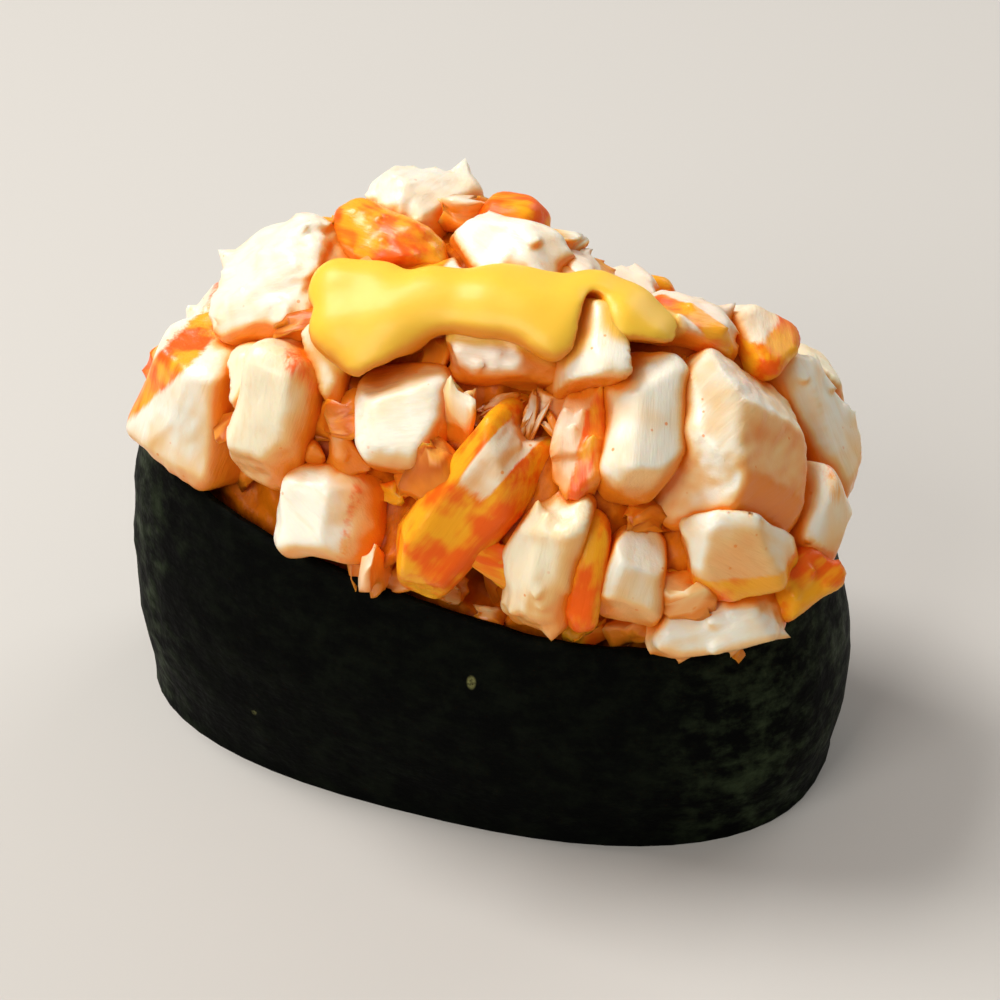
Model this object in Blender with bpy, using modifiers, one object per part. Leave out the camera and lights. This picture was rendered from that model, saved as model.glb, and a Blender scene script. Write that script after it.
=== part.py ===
"""Gunkan sushi: a nori band round a rice base, heaped with chopped surimi under a thick sauce.

Metres, +Z up. The origin is the middle of the flat underside, +X runs along the band,
and bearings are measured round +Z from +X, so that 270 degrees is the front.
"""

import math
import random
from dataclasses import dataclass

import bmesh
import bpy
from mathutils import Vector

MM = 0.001
GAP = 0.3 * MM  # clearance between pieces that touch

# Nori band: an oval strip that bellies out, on a flat foot, with a rim that falls to the right.
BAND_HALF_LENGTH = 28.4 * MM
BAND_HALF_WIDTH = 16.8 * MM
BAND_OVAL_POWER = 2.4
BAND_BELLY = 0.22
BAND_TOP_TAPER = 0.029
BAND_HEM = 0.04  # the share of the height at the foot that stands upright
NORI_THICKNESS = 0.5 * MM
RIM_HEIGHT = 22.9 * MM
RIM_FALL_TO_RIGHT = 0.151
RIM_RISE_TO_BACK = 0.096
RIM_SAG = 1.3 * MM
SEAM_BEARING = 62.0
SEAM_OVERLAP = 38.0
SEAM_RAMP = 16.0
BAND_STEPS = 56
BAND_RISES = (BAND_HEM, 0.28, 0.52, 0.76, 1.0)

# Rice base: fills the lower part of the band.
RICE_FILL = 0.62
RICE_STEPS = 40

# Heap: a dome over the rim. Its outer layer is the chopped surimi, round a flaked core.
HEAP_HALF_LENGTH = 28.4 * MM
HEAP_HALF_WIDTH = 18.2 * MM
HEAP_HEIGHT = 21.8 * MM
HEAP_SHIFT = 1.3 * MM
HEAP_BASE_HEIGHT = 23.1 * MM
HEAP_FALL_TO_RIGHT = 0.072
HEAP_OVAL_POWER = 2.6
HEAP_PROFILE_POWER = 1.8
LAYER_DEPTH = 7.0 * MM
CORE_STEPS = 32
CORE_CLIMBS = (14, 28, 42, 56, 72)

CHUNK_DEPTH = 9.0 * MM
CHUNK_BEVEL = 0.17
CORNER_WANDER = 0.07
CHUNK_LEAN = 0.20
SAUCE_VOXEL = 0.8 * MM
SAUCE_KEEP = 0.35
SAUCE_SETTLING = 6


@dataclass(frozen=True)
class Finish:
    """A plain finish: its colour and its roughness."""

    name: str
    colour: tuple[float, float, float]
    roughness: float

    def material(self):
        found = bpy.data.materials.get(self.name)
        if found:
            return found
        made = bpy.data.materials.new(self.name)
        made.use_nodes = True
        shader = made.node_tree.nodes["Principled BSDF"]
        shader.inputs["Base Color"].default_value = (*self.colour, 1.0)
        shader.inputs["Roughness"].default_value = self.roughness
        shader.inputs["Metallic"].default_value = 0.0
        made.diffuse_color = (*self.colour, 1.0)
        return made


NORI = Finish("nori", (0.010, 0.016, 0.010), 0.45)
RICE = Finish("rice", (0.88, 0.86, 0.80), 0.45)
DRESSING = Finish("dressing", (0.72, 0.24, 0.05), 0.35)
SURIMI = Finish("surimi", (0.93, 0.86, 0.74), 0.40)
SKIN = Finish("surimi_skin", (0.93, 0.38, 0.06), 0.38)
SAUCE = Finish("sauce", (0.90, 0.52, 0.09), 0.22)


@dataclass(frozen=True)
class Chunk:
    """A chopped surimi block on the heap.

    bearing and climb place the middle of its outer face, in degrees: climb is 0 at the
    heap's foot and 90 at its peak. length runs along the fibres, which turn lays from level
    towards upright, and proud lifts the block off the dome. Lengths are in millimetres.
    """

    bearing: float
    climb: float
    length: float
    width: float
    turn: float = 90.0
    proud: float = 0.0
    finish: Finish = SURIMI


# The front of the heap. Each chunk is pressed flat where it meets one listed before it.
RIM_ROW = (
    Chunk(275, 20, 15.5, 7.0, turn=55, proud=1.3, finish=SKIN),
    Chunk(285, 13, 10.8, 4.8, turn=86, proud=0.9),
    Chunk(259, 11, 7.2, 7.0, turn=10, proud=1.0),
    Chunk(219, 19, 12.0, 8.2, turn=86, proud=0.6),
    Chunk(302, 14, 6.6, 4.3, turn=80, proud=0.5),
    Chunk(292, 13, 8.5, 3.2, turn=92, proud=0.6, finish=SKIN),
    Chunk(316, 4, 9.5, 4.4, turn=8, proud=0.2),
    Chunk(299, 2, 8.5, 4.6, turn=5, proud=0.9),
    Chunk(345, 36, 12.5, 11.5, turn=140, proud=1.1),
    Chunk(322, 21, 11.0, 9.5, turn=12, proud=1.0),
    Chunk(268, 12, 7.5, 7.0, turn=70, proud=0.3),
    Chunk(353, 15, 9.0, 7.5, turn=15, proud=0.5),
    Chunk(338, 9, 10.5, 4.6, turn=12, proud=0.4, finish=SKIN),
)
MIDDLE_ROW = (
    Chunk(268, 39, 7.8, 7.0, turn=5, proud=1.4),
    Chunk(245, 26, 11.0, 5.3, turn=84, proud=1.0),
    Chunk(316, 44, 10.5, 6.2, turn=82, proud=1.3),
    Chunk(204, 49, 11.0, 9.5, turn=60, proud=1.1),
    Chunk(294, 38, 9.5, 5.5, turn=95, proud=-0.6),
    Chunk(250, 42, 8.5, 5.0, turn=95, proud=0.6),
    Chunk(10, 27, 12.0, 8.5, turn=92, proud=0.2),
    Chunk(261, 27, 6.5, 4.8, turn=95, proud=-0.8),
    Chunk(229, 35, 8.5, 7.5, turn=75, proud=0.3),
    Chunk(271, 29, 7.0, 6.5, turn=80, proud=-1.2),
    Chunk(254, 25, 8.5, 7.0, turn=80, proud=-1.4),
)
TOP_ROW = (
    Chunk(311, 57, 7.5, 5.0, turn=84, proud=1.5),
    Chunk(358, 59, 8.5, 7.5, turn=150, proud=0.5),
    Chunk(5, 45, 9.5, 7.0, turn=20, proud=0.8, finish=SKIN),
    Chunk(150, 72, 8.5, 6.0, turn=30, proud=1.1),
    Chunk(251, 62, 8.5, 7.0, turn=20, proud=-1.2),
    Chunk(94, 80, 5.0, 4.0, turn=0, proud=0.5, finish=SKIN),
    Chunk(276, 54, 10.5, 5.5, turn=10, proud=-0.2),
    Chunk(272, 81, 8.5, 6.5, turn=5, proud=-0.3),
    Chunk(312, 70, 8.0, 6.5, turn=30, proud=-1.2),
    Chunk(214, 70, 9.0, 5.0, turn=20, proud=0.1, finish=SKIN),
    Chunk(0, 74, 8.0, 6.5, turn=60, proud=-1.4),
    Chunk(226, 53, 6.5, 4.5, turn=85, proud=0.3),
)


@dataclass(frozen=True)
class BackRow:
    """A row of even chunks round the back, from its first bearing to its last."""

    first: float
    last: float
    count: int
    climb: float
    length: float
    width: float
    proud: float


BACK_ROWS = (
    BackRow(33, 200, 8, 14, 10.5, 8.5, -0.2),
    BackRow(42, 172, 6, 34, 10.5, 9.0, -1.5),
    BackRow(66, 122, 3, 57, 8.5, 8.0, -2.0),
)


@dataclass(frozen=True)
class Lobe:
    """A lobe of the sauce, centred on the heap and flattened against it."""

    bearing: float
    climb: float
    radius: float
    thickness: float
    proud: float = 0.6


SAUCE_LOBES = (
    Lobe(240, 56, 2.6, 2.0, 0.8),
    Lobe(251, 49, 2.9, 2.2, 0.9),
    Lobe(259, 46, 2.5, 2.0, 0.9),
    Lobe(250, 59, 2.6, 1.8, 0.6),
    Lobe(260, 54, 3.3, 2.2, 0.8),
    Lobe(266, 60, 3.1, 2.1, 0.7),
    Lobe(275, 62, 3.1, 2.1, 0.6),
    Lobe(286, 62, 2.9, 2.0, 0.6),
    Lobe(294, 58, 2.5, 1.8, 0.6),
    Lobe(309, 64, 2.7, 1.8, 0.5),
    Lobe(321, 61, 2.6, 1.8, 0.5),
    Lobe(327, 56, 2.1, 1.6, 0.4),
)


def signed_power(value, power):
    return math.copysign(abs(value) ** power, value)


def oval(bearing, half_length, half_width, power):
    """A point of a superellipse, from a bearing in degrees."""
    angle = math.radians(bearing)
    return Vector((
        half_length * signed_power(math.cos(angle), 2 / power),
        half_width * signed_power(math.sin(angle), 2 / power),
        0.0,
    ))


def oval_normal(point, half_length, half_width, power):
    """The outward direction of a superellipse at one of its points."""
    return Vector((
        signed_power(point.x / half_length, power - 1) / half_length,
        signed_power(point.y / half_width, power - 1) / half_width,
        0.0,
    )).normalized()


def rim_height(x, y):
    """Height of the band's rim: a sloping plane that sags between the two ends."""
    sag = RIM_SAG * (1 - (x / BAND_HALF_LENGTH) ** 2)
    return RIM_HEIGHT - RIM_FALL_TO_RIGHT * x + RIM_RISE_TO_BACK * y - sag


def rim_normal(x):
    """The upward direction square to the rim's height, which bends along the band only."""
    slope = 2 * RIM_SAG * x / BAND_HALF_LENGTH**2 - RIM_FALL_TO_RIGHT
    return Vector((-slope, -RIM_RISE_TO_BACK, 1.0)).normalized()


def band_point(bearing, rise, outward=0.0):
    """A point of the band's inner face, from its foot (rise 0) to its rim (rise 1)."""
    foot = oval(bearing, BAND_HALF_LENGTH, BAND_HALF_WIDTH, BAND_OVAL_POWER)
    normal = oval_normal(foot, BAND_HALF_LENGTH, BAND_HALF_WIDTH, BAND_OVAL_POWER)
    above = max(rise - BAND_HEM, 0.0) / (1 - BAND_HEM)
    swell = 1 - BAND_TOP_TAPER * above + BAND_BELLY * above * (1 - above)
    point = foot * swell + normal * (outward - NORI_THICKNESS)
    point.z = rise * rim_height(point.x, point.y)
    return point


def heap_point(bearing, climb, inset=0.0):
    """A point of the heap's dome, or of the dome inset from it."""
    reach = math.cos(math.radians(climb))
    around = oval(bearing, HEAP_HALF_LENGTH - inset, HEAP_HALF_WIDTH - inset, HEAP_OVAL_POWER)
    point = around * reach + Vector((HEAP_SHIFT, 0, 0))
    lift = (1 - reach**HEAP_PROFILE_POWER) ** (1 / HEAP_PROFILE_POWER)
    point.z = HEAP_BASE_HEIGHT - HEAP_FALL_TO_RIGHT * point.x + (HEAP_HEIGHT - inset) * lift
    return point


def heap_axes(bearing, climb, inset=0.0):
    """Level, uphill and outward directions at a point of the heap."""
    step = 0.5
    level = heap_point(bearing + step, climb, inset) - heap_point(bearing - step, climb, inset)
    uphill = heap_point(bearing, climb + step, inset) - heap_point(bearing, climb - step, inset)
    outward = level.cross(uphill).normalized()
    level.z = 0.0
    level = (level - outward * level.dot(outward)).normalized()
    return level, outward.cross(level), outward


def new_object(name, mesh, finish, collection):
    obj = bpy.data.objects.new(name, mesh)
    obj.data.materials.append(finish.material())
    collection.objects.link(obj)
    return obj


def mesh_of(shape, name):
    """Closes a bmesh as a mesh, with its faces pointing out."""
    bmesh.ops.recalc_face_normals(shape, faces=shape.faces)
    mesh = bpy.data.meshes.new(name)
    shape.to_mesh(mesh)
    shape.free()
    return mesh


def ring_of(shape, points):
    """A closed ring of edges through the points."""
    verts = [shape.verts.new(point) for point in points]
    return [shape.edges.new((a, b)) for a, b in zip(verts, verts[1:] + verts[:1])]


def raise_ring(shape, edges, points):
    """Extrudes a ring or strip of edges and moves the new vertices to the points, in order."""
    base = ordered_verts(edges)
    grown = bmesh.ops.extrude_edge_only(shape, edges=edges)["geom"]
    new_verts = [item for item in grown if isinstance(item, bmesh.types.BMVert)]
    partner = {}
    for vert in new_verts:
        for edge in vert.link_edges:
            other = edge.other_vert(vert)
            if other in base:
                partner[other] = vert
    for old, point in zip(base, points):
        partner[old].co = point
    moved = [partner[old] for old in base]
    pairs = zip(moved, moved[1:] + (moved[:1] if len(edges) == len(base) else []))
    return [shape.edges.get(pair) for pair in pairs]


def ordered_verts(edges):
    """The vertices along a chain of edges that is given in order."""
    first, second = edges[0], edges[1]
    start = next(vert for vert in first.verts if vert not in second.verts)
    chain = [start]
    for edge in edges:
        following = edge.other_vert(chain[-1])
        if following is not start:
            chain.append(following)
    return chain


def lofted(name, rings, finish, collection):
    """A solid through closed rings of points, capped at both ends."""
    shape = bmesh.new()
    edges = ring_of(shape, rings[0])
    bmesh.ops.contextual_create(shape, geom=edges)
    for points in rings[1:]:
        edges = raise_ring(shape, edges, points)
    bmesh.ops.contextual_create(shape, geom=edges)
    return new_object(name, mesh_of(shape, name), finish, collection)


def bearings(count):
    return [360.0 * index / count for index in range(count)]


def build_nori(collection):
    """One strip wound round the base, its end lapped over its start, then thickened."""
    step = 360.0 / BAND_STEPS
    turns = [step * index for index in range(BAND_STEPS + round(SEAM_OVERLAP / step) + 1)]

    def row(rise):
        points = []
        for turn in turns:
            ramp = min(max((turn - 360.0 + SEAM_RAMP) / SEAM_RAMP, 0.0), 1.0)
            lap = (NORI_THICKNESS + GAP) * ramp
            points.append(band_point(SEAM_BEARING + turn, rise, NORI_THICKNESS / 2 + lap))
        return points

    shape = bmesh.new()
    verts = [shape.verts.new(point) for point in row(0.0)]
    edges = [shape.edges.new(pair) for pair in zip(verts, verts[1:])]
    for rise in BAND_RISES:
        edges = raise_ring(shape, edges, row(rise))
    bmesh.ops.recalc_face_normals(shape, faces=shape.faces)
    mesh = bpy.data.meshes.new("nori_band")
    shape.to_mesh(mesh)
    shape.free()
    band = new_object("nori_band", mesh, NORI, collection)
    wall = band.modifiers.new("thickness", "SOLIDIFY")
    wall.thickness = NORI_THICKNESS
    wall.offset = 0.0
    band.data.shade_smooth()
    return band


def build_rice(collection):
    """The rice that fills the lower part of the band and stands on the flat underside."""
    rings = []
    for rise in (0.0, BAND_HEM, RICE_FILL / 2, RICE_FILL):
        rings.append([band_point(bearing, rise, -GAP) for bearing in bearings(RICE_STEPS)])
    return lofted("rice_base", rings, RICE, collection)


def core_foot(bearing):
    """The place where the core's dome rises out of the rim."""
    climb = 0
    while True:
        point = heap_point(bearing, climb, LAYER_DEPTH)
        if point.z > rim_height(point.x, point.y) + GAP:
            return point
        climb += 1


def build_core(collection):
    """Flaked surimi in dressing: a plug inside the band, and a dome under the chunks."""
    around = bearings(CORE_STEPS)
    plug_foot = [band_point(b, RICE_FILL, -GAP) + Vector((0, 0, GAP)) for b in around]
    plug_top = [band_point(b, 1.0, -GAP) for b in around]
    foot = [core_foot(bearing) for bearing in around]
    ledge = [Vector((point.x, point.y, rim_height(point.x, point.y))) for point in foot]
    rings = [plug_foot, plug_top, ledge, foot]
    for climb in CORE_CLIMBS:
        rings.append([heap_point(bearing, climb, LAYER_DEPTH) for bearing in around])
    return lofted("flaked_core", rings, DRESSING, collection)


def chunk_shape(chunk, seed):
    """A block with softened edges and wandering corners, lying on the heap."""
    wander = random.Random(seed)
    shape = bmesh.new()
    bmesh.ops.create_cube(shape, size=1.0)
    for vert in shape.verts:
        vert.co += Vector([wander.uniform(-CORNER_WANDER, CORNER_WANDER) for _ in range(3)])
    level, uphill, outward = heap_axes(chunk.bearing, chunk.climb)
    turn = math.radians(chunk.turn)
    along = level * math.cos(turn) + uphill * math.sin(turn)
    across = outward.cross(along)
    face = heap_point(chunk.bearing, chunk.climb) + outward * chunk.proud * MM
    leaning = outward + along * wander.uniform(-CHUNK_LEAN, CHUNK_LEAN)
    leaning += across * wander.uniform(-CHUNK_LEAN, CHUNK_LEAN)
    outward = leaning.normalized()
    along = across.cross(outward).normalized()
    across = outward.cross(along)
    middle = face - outward * CHUNK_DEPTH / 2
    length, width = chunk.length * MM, chunk.width * MM
    for vert in shape.verts:
        x, y, z = vert.co
        vert.co = middle + along * x * length + across * y * width + outward * z * CHUNK_DEPTH
    bmesh.ops.recalc_face_normals(shape, faces=shape.faces)
    bmesh.ops.bevel(
        shape,
        geom=shape.edges,
        offset=CHUNK_BEVEL * width,
        segments=1,
        affect="EDGES",
    )
    return shape


def slice_off(shape, point, outward):
    """Cuts away what lies beyond a plane and closes the cut."""
    bmesh.ops.bisect_plane(
        shape,
        geom=shape.verts[:] + shape.edges[:] + shape.faces[:],
        dist=1e-7,
        plane_co=point,
        plane_no=outward,
        clear_outer=True,
    )
    open_edges = [edge for edge in shape.edges if edge.is_boundary]
    if open_edges:
        bmesh.ops.holes_fill(shape, edges=open_edges)


def reach(shape, direction):
    """Lowest and highest place of a shape's corners along a direction."""
    places = [vert.co.dot(direction) for vert in shape.verts]
    return min(places), max(places)


def press_against(shape, firm):
    """Slices a convex shape flat where it overlaps a firm one, losing as little as it can."""
    shape.normal_update()
    best = None
    for direction in [face.normal for face in firm.faces] + [-face.normal for face in shape.faces]:
        low, high = reach(shape, direction)
        overlap = reach(firm, direction)[1] + GAP - low
        if overlap <= 0:
            return
        loss = overlap / (high - low)
        if best is None or loss < best[0]:
            best = (loss, low + overlap, direction.copy())
    slice_off(shape, best[2] * best[1], -best[2])


def all_chunks():
    """Every chunk of the heap: the rows of the front, then even rows round the back."""
    chunks = [*RIM_ROW, *MIDDLE_ROW, *TOP_ROW]
    wander = random.Random(11)
    for row in BACK_ROWS:
        for index in range(row.count):
            share = index / (row.count - 1)
            chunks.append(Chunk(
                row.first + (row.last - row.first) * share + wander.uniform(-3, 3),
                row.climb + wander.uniform(-4, 4),
                row.length * wander.uniform(0.85, 1.2),
                row.width * wander.uniform(0.8, 1.1),
                turn=wander.uniform(0, 180),
                proud=row.proud + wander.uniform(-0.5, 0.5),
                finish=SKIN if index % 3 == 1 else SURIMI,
            ))
    return chunks


def build_chunks(collection):
    """The chopped surimi, each block pressed flat against the core, the rim and the others."""
    made, firm = [], []
    for index, chunk in enumerate(all_chunks()):
        shape = chunk_shape(chunk, index)
        seat = heap_point(chunk.bearing, chunk.climb, LAYER_DEPTH)
        outward = heap_axes(chunk.bearing, chunk.climb, LAYER_DEPTH)[2]
        slice_off(shape, seat + outward * GAP, -outward)
        middle = heap_point(chunk.bearing, chunk.climb, LAYER_DEPTH / 2)
        middle.z = rim_height(middle.x, middle.y)
        up = rim_normal(middle.x)
        slice_off(shape, middle + up * GAP, -up)
        for other in firm:
            press_against(shape, other)
        name = f"surimi_{index + 1:02d}"
        shape.normal_update()
        firm.append(shape.copy())
        made.append(new_object(name, mesh_of(shape, name), chunk.finish, collection))
    for shape in firm:
        shape.free()
    return made


def build_sauce(collection, cutters, chunks):
    """The thick sauce: lobes run together, and bedded on the chunks below."""
    shape = bmesh.new()
    for lobe in SAUCE_LOBES:
        level, uphill, outward = heap_axes(lobe.bearing, lobe.climb)
        middle = heap_point(lobe.bearing, lobe.climb) + outward * lobe.proud * MM
        ball = bmesh.ops.create_uvsphere(shape, u_segments=16, v_segments=10, radius=MM)
        for vert in ball["verts"]:
            x, y, z = vert.co
            vert.co = middle + (level * x + uphill * y) * lobe.radius + outward * z * lobe.thickness
    sauce = new_object("sauce", mesh_of(shape, "sauce"), SAUCE, collection)
    melt = sauce.modifiers.new("run_together", "REMESH")
    melt.mode = "VOXEL"
    melt.voxel_size = SAUCE_VOXEL
    settle = sauce.modifiers.new("settle", "SMOOTH")
    settle.factor = 0.5
    settle.iterations = SAUCE_SETTLING
    thin = sauce.modifiers.new("fewer_faces", "DECIMATE")
    thin.ratio = SAUCE_KEEP
    for chunk in chunks:
        middle = sum((vert.co for vert in chunk.data.vertices), Vector()) / len(chunk.data.vertices)
        cutter = bpy.data.objects.new("bed_" + chunk.name, chunk.data.copy())
        for vert in cutter.data.vertices:
            away = vert.co - middle
            vert.co = middle + away + away.normalized() * GAP * 2
        cutter.hide_render = True
        cutter.display_type = "WIRE"
        cutters.objects.link(cutter)
    bed = sauce.modifiers.new("bed", "BOOLEAN")
    bed.operation = "DIFFERENCE"
    bed.operand_type = "COLLECTION"
    bed.collection = cutters
    return sauce


def main():
    for obj in list(bpy.data.objects):
        bpy.data.objects.remove(obj)
    sushi = bpy.data.collections.new("gunkan_sushi")
    cutters = bpy.data.collections.new("cutters")
    for collection in (sushi, cutters):
        bpy.context.scene.collection.children.link(collection)
    build_nori(sushi)
    build_rice(sushi)
    build_core(sushi)
    chunks = build_chunks(sushi)
    build_sauce(sushi, cutters, chunks)


main()
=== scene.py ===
"""Gunkan sushi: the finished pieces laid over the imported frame.

Metres, +Z up, in the frame's own place: the origin is the middle of the flat underside and +X
runs along the band, so that an eater in front of it looks along +Y.
"""

import logging
import math
import random
from collections.abc import Iterable, Sequence
from dataclasses import dataclass, field
from enum import Enum

import bpy
import numpy as np
from mathutils import Matrix, Vector, noise
from mathutils.bvhtree import BVHTree


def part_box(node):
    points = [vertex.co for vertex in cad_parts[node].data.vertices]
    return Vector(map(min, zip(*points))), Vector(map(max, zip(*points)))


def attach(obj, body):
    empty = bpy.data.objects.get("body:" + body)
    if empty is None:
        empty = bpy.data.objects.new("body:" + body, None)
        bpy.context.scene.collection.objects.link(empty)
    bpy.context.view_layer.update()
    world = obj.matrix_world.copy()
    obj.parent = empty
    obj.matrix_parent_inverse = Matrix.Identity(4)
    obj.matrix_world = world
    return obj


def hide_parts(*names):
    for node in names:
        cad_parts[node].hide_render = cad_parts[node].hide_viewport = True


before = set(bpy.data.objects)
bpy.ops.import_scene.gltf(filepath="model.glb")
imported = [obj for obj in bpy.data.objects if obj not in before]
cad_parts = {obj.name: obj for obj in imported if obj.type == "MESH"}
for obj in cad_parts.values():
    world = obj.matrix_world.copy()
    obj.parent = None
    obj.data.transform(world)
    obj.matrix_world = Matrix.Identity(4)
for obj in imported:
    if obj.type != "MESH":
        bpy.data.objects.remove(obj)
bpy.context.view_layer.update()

MM = 0.001
BODY = "root"

log = logging.getLogger("gunkan_sushi")

Colour = tuple[float, float, float]
Value = "Signal | float"
FlakeShape = tuple[np.ndarray, list[tuple[int, ...]]]


# ---------------------------------------------------------------- shader bench


class Signal:
    """A value in a shader, which does arithmetic by adding Math nodes."""

    def __init__(self, bench: "Bench", socket: bpy.types.NodeSocket) -> None:
        """Wraps a socket.

        Args:
            bench: The bench whose tree holds the socket.
            socket: The output that carries the value.
        """
        self.bench = bench
        self.socket = socket

    def _math(self, operation: str, first: Value, second: Value) -> "Signal":
        """Adds one Math node and returns its result."""
        return self.bench.node("ShaderNodeMath", {"operation": operation}, {0: first, 1: second})

    def __add__(self, other: Value) -> "Signal":
        """This value plus another."""
        return self._math("ADD", self, other)

    __radd__ = __add__

    def __sub__(self, other: Value) -> "Signal":
        """This value less another."""
        return self._math("SUBTRACT", self, other)

    def __rsub__(self, other: Value) -> "Signal":
        """Another value less this one."""
        return self._math("SUBTRACT", other, self)

    def __mul__(self, other: Value) -> "Signal":
        """This value times another."""
        return self._math("MULTIPLY", self, other)

    __rmul__ = __mul__

    def __pow__(self, other: Value) -> "Signal":
        """This value raised to a power."""
        return self._math("POWER", self, other)

    def at_most(self, other: Value) -> "Signal":
        """The smaller of this value and another."""
        return self._math("MINIMUM", self, other)

    def at_least(self, other: Value) -> "Signal":
        """The larger of this value and another."""
        return self._math("MAXIMUM", self, other)

    def fade(self, low: float, high: float) -> "Signal":
        """Runs smoothly from 0 where this value is low to 1 where it is high."""
        settings = {"interpolation_type": "SMOOTHSTEP"}
        inputs = {"Value": self, "From Min": low, "From Max": high, "To Min": 0.0, "To Max": 1.0}
        return self.bench.node("ShaderNodeMapRange", settings, inputs)


class Bench:
    """Makes one material: its nodes, their settings and their links."""

    def __init__(self, name: str) -> None:
        """Starts a material that holds a lone Principled shader."""
        self.material = bpy.data.materials.new(name)
        self.material.use_nodes = True
        self.tree = self.material.node_tree
        self.shader = self.tree.nodes["Principled BSDF"]

    def feed(self, socket: bpy.types.NodeSocket, value: object) -> None:
        """Links a signal to a socket, or sets the socket to a plain value."""
        if isinstance(value, Signal):
            self.tree.links.new(value.socket, socket)
        else:
            socket.default_value = value

    def node(
        self,
        kind: str,
        settings: dict[str, object] | None = None,
        inputs: dict[int | str, object] | None = None,
        output: int | str = 0,
    ) -> Signal:
        """Adds any node.

        Args:
            kind: The node's type.
            settings: Its own settings, made before its sockets are filled.
            inputs: The value or signal of each socket, by number or name.
            output: The output wanted.

        Returns:
            The signal of that output.
        """
        made = self.tree.nodes.new(kind)
        for name, value in (settings or {}).items():
            setattr(made, name, value)
        for name, value in (inputs or {}).items():
            self.feed(made.inputs[name], value)
        return Signal(self, made.outputs[output])

    def blend(self, share: Value, first: object, second: object) -> Signal:
        """Mixes two colours by a share from 0 to 1."""
        colours = [c if isinstance(c, Signal) else (*c, 1.0) for c in (first, second)]
        settings = {"data_type": "RGBA", "clamp_factor": True}
        return self.node("ShaderNodeMix", settings, {0: share, 6: colours[0], 7: colours[1]}, output=2)

    def attribute(self, name: str, output: str = "Fac") -> Signal:
        """Reads a mesh attribute."""
        return self.node("ShaderNodeAttribute", {"attribute_name": name}, output=output)

    def place(self) -> Signal:
        """The point's own place on the object."""
        return self.node("ShaderNodeTexCoord", output="Object")

    def stretch(self, vector: Signal, scale: tuple[float, float, float]) -> Signal:
        """Scales a vector along its axes."""
        return self.node("ShaderNodeVectorMath", {"operation": "MULTIPLY"}, {0: vector, 1: scale})

    def grain(self, vector: Signal, scale: float, detail: float = 3.0, rough: float = 0.55) -> Signal:
        """Soft noise from 0 to 1."""
        inputs = {"Vector": vector, "Scale": scale, "Detail": detail, "Roughness": rough}
        return self.node("ShaderNodeTexNoise", {}, inputs)

    def cells(self, vector: Signal, scale: float, feature: str = "F1") -> Signal:
        """Distance in a field of cells."""
        inputs = {"Vector": vector, "Scale": scale}
        return self.node("ShaderNodeTexVoronoi", {"feature": feature}, inputs)

    def relief(self, height: Signal, depth: float, under: Signal | None = None) -> Signal:
        """Turns a height from 0 to 1 into a bumped normal.

        Args:
            height: The height signal.
            depth: How far apart its lowest and highest points are, in metres.
            under: An earlier relief to lay this one over.

        Returns:
            The normal.
        """
        inputs: dict[int | str, object] = {"Height": height, "Distance": depth, "Strength": 1.0}
        if under is not None:
            inputs["Normal"] = under
        return self.node("ShaderNodeBump", {}, inputs)

    def finish(self, **sockets: object) -> bpy.types.Material:
        """Fills the shader's sockets, whose names are given with _ for a space."""
        for name, value in sockets.items():
            self.feed(self.shader.inputs[name.replace("_", " ")], value)
        return self.material


# ---------------------------------------------------------------- finishes


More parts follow.
